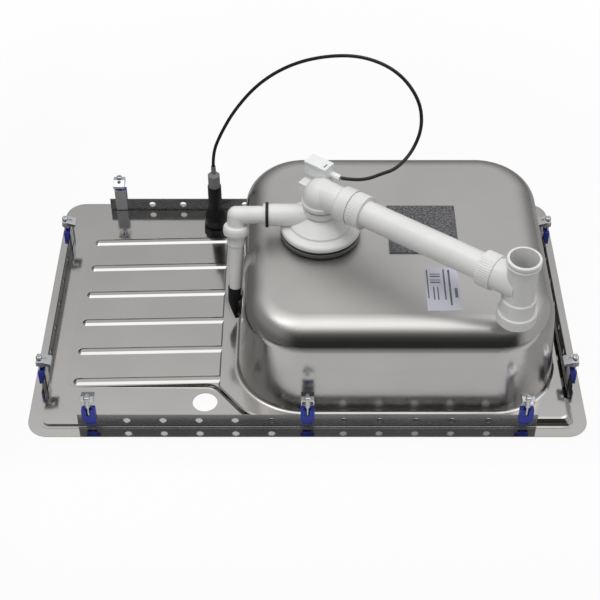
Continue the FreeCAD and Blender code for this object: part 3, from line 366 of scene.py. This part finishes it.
def printed_label():
    """White paper with plain printed stripes, placed by the label's own position."""
    s = Shader("label")
    x0, y0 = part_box("paper_label")[0][:2]
    x1, y1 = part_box("paper_label")[1][:2]
    axes = s.axes()
    across = s.spread(axes.outputs["X"], 0.0, 1.0, x0, x1)
    along = s.spread(axes.outputs["Y"], 0.0, 1.0, y0, y1)
    ink = None
    for x_from, x_to, y_from, y_to in STRIPES:
        inside = None
        for value, limit, operation in ((across, x_from, "GREATER_THAN"), (across, x_to, "LESS_THAN"),
                                        (along, y_from, "GREATER_THAN"), (along, y_to, "LESS_THAN")):
            test = s.node("ShaderNodeMath", operation=operation)
            test.inputs[1].default_value = limit
            s.link(value, test.inputs[0])
            passed = test.outputs["Value"]
            inside = passed if inside is None else s.maths("MULTIPLY", inside, passed)
        ink = inside if ink is None else s.maths("MAXIMUM", ink, inside)
    paper = s.noise(PAPER_GRAIN)
    soft = s.maths("MULTIPLY", ink, s.spread(paper, 0.75, 1.0))
    s.link(s.blend(soft, (0.53, 0.53, 0.60), (0.06, 0.06, 0.08)), s.surface.inputs["Base Color"])
    s.set(Roughness=0.55)
    return s.material


STEEL = pressed_steel()
DRAWN = drawn_steel()
STRIP = strip_steel()
# Painted shade: the short strips' steel is coloured near black to stand in for the shade and dark
# reflection on their faces
SHADED_STRIP = metal("dark_strip", (0.06, 0.06, 0.063), (0.09, 0.09, 0.094), (0.28, 0.34), STRIP_GRAIN, 0.01)
ZINC = metal("zinc", (0.62, 0.63, 0.66), (0.80, 0.81, 0.83), (0.16, 0.28), SMALL_PART_GRAIN, 0.08)
PLATE = metal("plate_steel", (0.66, 0.66, 0.68), (0.80, 0.80, 0.82), (0.45, 0.60), SMALL_PART_GRAIN, 0.08)
BRIGHT = metal("bright_steel", (0.64, 0.63, 0.62), (0.72, 0.72, 0.71), (0.12, 0.20), BRIGHT_GRAIN, 0.02)
CHROME = metal("chrome", (0.74, 0.74, 0.75), (0.80, 0.80, 0.81), (0.05, 0.09), CHROME_GRAIN, 0.01)
BLUE = moulded("blue_plastic", (0.02, 0.035, 0.30), (0.03, 0.055, 0.42), (0.34, 0.46), 0.05)
WHITE = moulded("white_plastic", (0.75, 0.75, 0.74), (0.80, 0.80, 0.79), (0.30, 0.38), 0.03, 0.1)
LEVER = moulded("white_lever", (0.74, 0.74, 0.73), (0.80, 0.80, 0.79), (0.40, 0.50))
BLACK = moulded("black_plastic", (0.003, 0.003, 0.004), (0.008, 0.008, 0.010), (0.34, 0.46), 0.05)
GREY = moulded("grey_plastic", (0.17, 0.17, 0.175), (0.25, 0.25, 0.255), (0.35, 0.45), 0.25)
RUBBER = moulded("black_rubber", (0.010, 0.010, 0.010), (0.020, 0.020, 0.020), (0.55, 0.70), 0.10)
JACKET = moulded("cable_jacket", (0.008, 0.008, 0.009), (0.016, 0.016, 0.017), (0.30, 0.42), 0.03)
CLEAR = moulded("clear_plastic", (0.80, 0.82, 0.82), (0.86, 0.88, 0.88), (0.28, 0.38), 0.03)
PAD = felt("pad", (0.015, 0.015, 0.018), (0.22, 0.22, 0.23))
WASTE = waste_plastic()
LABEL = printed_label()

SLOT_MATERIALS = {
    "steel": STEEL,
    "strip_steel": STRIP,
    "zinc": ZINC,
    "bright_steel": BRIGHT,
    "chrome": CHROME,
    "blue_plastic": BLUE,
    "white_plastic": WHITE,
    "white_lever": LEVER,
    "black_plastic": BLACK,
    "grey_plastic": GREY,
    "black_rubber": RUBBER,
    "cable_jacket": JACKET,
    "clear_plastic": CLEAR,
    "pad": PAD,
    "label": LABEL,
}
# Nodes whose finish differs from the rest of their slot
NODE_MATERIALS = {
    "sink_bowl": DRAWN,
    # The short strips carry the painted shade
    "strips_short": SHADED_STRIP,
    "clamp_plates": PLATE,
    "waste_body": WASTE,
}


def dress_nodes():
    """Gives each node its own finish, or else its slot's."""
    for entry in frame["record"]["subparts"]:
        mesh = nodes[entry["node"]].data
        mesh.materials.clear()
        mesh.materials.append(NODE_MATERIALS.get(entry["node"], SLOT_MATERIALS[entry["material_slot"]]))


def soften_edges():
    """Keeps the deck's creases crisp, and rounds the edges of the moulded and folded pieces a little."""
    crease = nodes["sink_deck"].modifiers.new("crease", "EDGE_SPLIT")
    crease.split_angle = math.radians(CREASE_ANGLE_DEG)
    for name, width in EDGE_ROUNDS.items():
        piece = nodes[name]
        weld = piece.modifiers.new("weld", "WELD")
        weld.merge_threshold = WELD_GAP
        bevel = piece.modifiers.new("round", "BEVEL")
        bevel.width = width
        bevel.segments = EDGE_SEGMENTS
        bevel.limit_method = "ANGLE"
        bevel.angle_limit = math.radians(EDGE_ANGLE_DEG)
        bevel.use_clamp_overlap = True
        bevel.harden_normals = True


def make_cable():
    curve = bpy.data.curves.new("cable", "CURVE")
    curve.dimensions = "3D"
    curve.bevel_depth = CABLE_DIAMETER / 2.0
    curve.bevel_resolution = CABLE_RING_STEPS
    curve.use_fill_caps = True
    spline = curve.splines.new("NURBS")
    spline.points.add(len(CABLE_ROUTE) - 1)
    for point, place in zip(spline.points, CABLE_ROUTE):
        point.co = (*place, 1.0)
    spline.order_u = 3
    spline.use_endpoint_u = True
    spline.resolution_u = CABLE_ROUTE_STEPS
    cable = bpy.data.objects.new("cable", curve)
    scene.collection.objects.link(cable)
    curve.materials.append(JACKET)
    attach(cable, "sink")
    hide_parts("bowden_cable")


def make_camera():
    data = bpy.data.cameras.new("camera")
    data.lens = CAMERA_LENS_MM
    data.sensor_width = CAMERA_SENSOR_MM
    camera = bpy.data.objects.new("camera", data)
    camera.location = CAMERA_AT
    camera.rotation_euler = (math.radians(CAMERA_TILT_DEG), 0.0, 0.0)
    scene.collection.objects.link(camera)
    scene.camera = camera


def make_floor():
    """White disc under the sink that keeps a faint shadow, carries painted shade for the steel to mirror,
    and melts into the white beyond it.
    """
    mesh = bpy.data.meshes.new("floor")
    turns = [2.0 * math.pi * i / FLOOR_SIDES for i in range(FLOOR_SIDES)]
    rim = [(FLOOR_RADIUS * math.cos(t), FLOOR_RADIUS * math.sin(t), cad_box[0][2]) for t in turns]
    mesh.from_pydata(rim, [], [tuple(range(FLOOR_SIDES))])
    floor = bpy.data.objects.new("floor", mesh)
    scene.collection.objects.link(floor)
    s = Shader("floor")
    s.set(Roughness=0.9)
    axes = s.axes()
    tone = s.node("ShaderNodeValToRGB")
    stops = tone.color_ramp.elements
    while len(stops) < len(FLOOR_SHADE_TONES):
        stops.new(0.5)
    for stop, (ahead, level) in zip(stops, FLOOR_SHADE_TONES):
        stop.position = ahead / FLOOR_RADIUS
        stop.color = (level, level, level, 1.0)
    # Painted shade: the floor's tone darkens under the sink and further ahead, for the steel to mirror
    s.link(s.spread(axes.outputs["Y"], 1.0, 0.0, -FLOOR_RADIUS, 0.0), tone.inputs["Fac"])
    # Painted shade: the floor darkens at the left of the sink
    left = s.spread(axes.outputs["X"], FLOOR_LEFT, 1.0, *FLOOR_LEFT_FADE)
    shade = s.node("ShaderNodeVectorMath", operation="SCALE")
    s.link(tone.outputs["Color"], shade.inputs[0])
    s.link(left, shade.inputs["Scale"])
    s.link(shade.outputs["Vector"], s.surface.inputs["Base Color"])
    glow = s.node("ShaderNodeEmission")
    path = s.node("ShaderNodeLightPath")
    reach = s.node("ShaderNodeVectorMath", operation="LENGTH")
    s.link(s.place, reach.inputs[0])
    glow_from, glow_to = (share * FLOOR_RADIUS for share in FLOOR_GLOW_FADE)
    edge = s.spread(reach.outputs["Value"], FLOOR_GLOW, 1.0, glow_from, glow_to)
    mix = s.node("ShaderNodeMixShader")
    s.link(s.maths("MULTIPLY", path.outputs["Is Camera Ray"], edge), mix.inputs["Fac"])
    s.link(s.surface.outputs["BSDF"], mix.inputs[1])
    s.link(glow.outputs["Emission"], mix.inputs[2])
    s.link(mix.outputs["Shader"], s.tree.nodes["Material Output"].inputs["Surface"])
    mesh.materials.append(s.material)


def make_world():
    """Studio round the sink: bright overhead, mid grey behind and at the sides, dark in front."""
    world = bpy.data.worlds.new("studio")
    scene.world = world
    world.use_nodes = True
    tree = world.node_tree
    tree.nodes.clear()

    def node(kind, **settings):
        made = tree.nodes.new(kind)
        for key, value in settings.items():
            setattr(made, key, value)
        return made

    def ramp(value, start, end, low, high, shape="SMOOTHSTEP"):
        change = node("ShaderNodeMapRange", interpolation_type=shape)
        for key, number in (("From Min", start), ("From Max", end), ("To Min", low), ("To Max", high)):
            change.inputs[key].default_value = number
        tree.links.new(value, change.inputs["Value"])
        return change.outputs["Result"]

    def mixed(factor, first, second):
        mix = node("ShaderNodeMix", data_type="FLOAT")
        tree.links.new(factor, mix.inputs["Factor"])
        for key, value in (("A", first), ("B", second)):
            if isinstance(value, float):
                mix.inputs[key].default_value = value
            else:
                tree.links.new(value, mix.inputs[key])
        return mix.outputs["Result"]

    axes = node("ShaderNodeSeparateXYZ")
    coordinates = node("ShaderNodeTexCoord").outputs["Generated"]
    tree.links.new(coordinates, axes.inputs["Vector"])
    toward = node("ShaderNodeMath", operation="MULTIPLY")
    toward.inputs[1].default_value = -1.0
    tree.links.new(axes.outputs["Y"], toward.inputs[0])
    angle = node("ShaderNodeMath", operation="ARCTAN2")
    tree.links.new(toward.outputs["Value"], angle.inputs[0])
    tree.links.new(axes.outputs["Z"], angle.inputs[1])
    turn = ramp(angle.outputs["Value"], -math.pi, math.pi, 0.0, 1.0, "LINEAR")
    bands = node("ShaderNodeValToRGB")
    stops = bands.color_ramp.elements
    while len(stops) < len(STUDIO):
        stops.new(0.5)
    for stop, (degrees, level) in zip(stops, STUDIO):
        stop.position = (degrees + 180.0) / 360.0
        stop.color = (*[level / STUDIO_PEAK] * 3, 1.0)
    tree.links.new(turn, bands.inputs["Fac"])
    scaled = ramp(bands.outputs["Color"], 0.0, 1.0, 0.0, STUDIO_PEAK, "LINEAR")
    at_right = ramp(axes.outputs["X"], *RIGHT_FADE, 0.0, 1.0)
    at_left = ramp(axes.outputs["X"], *LEFT_FADE, 1.0, 0.0)
    sides = node("ShaderNodeMath", operation="MAXIMUM")
    tree.links.new(at_right, sides.inputs[0])
    tree.links.new(at_left, sides.inputs[1])
    side = sides.outputs["Value"]
    right = ramp(axes.outputs["X"], *SIDE_TURN, 0.0, 1.0)
    low = mixed(right, STUDIO_LEFT_LOW, STUDIO_RIGHT_LOW)
    height = ramp(axes.outputs["Z"], *LOW_FADE, 0.0, 1.0)
    high = mixed(right, STUDIO_LEFT, STUDIO_RIGHT)
    light = mixed(side, scaled, mixed(height, low, high))
    toward_panel = node("ShaderNodeVectorMath", operation="DOT_PRODUCT")
    toward_panel.inputs[1].default_value = Vector(PANEL_AT).normalized()
    tree.links.new(coordinates, toward_panel.inputs[0])
    panel = ramp(toward_panel.outputs["Value"], PANEL_COS, 1.0, 0.0, PANEL_LEVEL)
    both = node("ShaderNodeMath", operation="ADD")
    tree.links.new(light, both.inputs[0])
    tree.links.new(panel, both.inputs[1])
    light = mixed(node("ShaderNodeLightPath").outputs["Is Camera Ray"], both.outputs["Value"], 1.0)
    background = node("ShaderNodeBackground")
    tree.links.new(light, background.inputs["Strength"])
    output = node("ShaderNodeOutputWorld")
    tree.links.new(background.outputs["Background"], output.inputs["Surface"])


def make_lights():
    for name, (place, target, size, watts) in LAMPS.items():
        data = bpy.data.lights.new(name, "AREA")
        data.size = size
        data.energy = watts
        lamp = bpy.data.objects.new(name, data)
        lamp.location = place
        lamp.rotation_euler = (Vector(target) - Vector(place)).to_track_quat("-Z", "Y").to_euler()
        lamp.visible_glossy = False
        scene.collection.objects.link(lamp)


scene.view_settings.view_transform = "Standard"
make_camera()
make_world()
make_lights()
make_floor()
dress_nodes()
soften_edges()
make_cable()
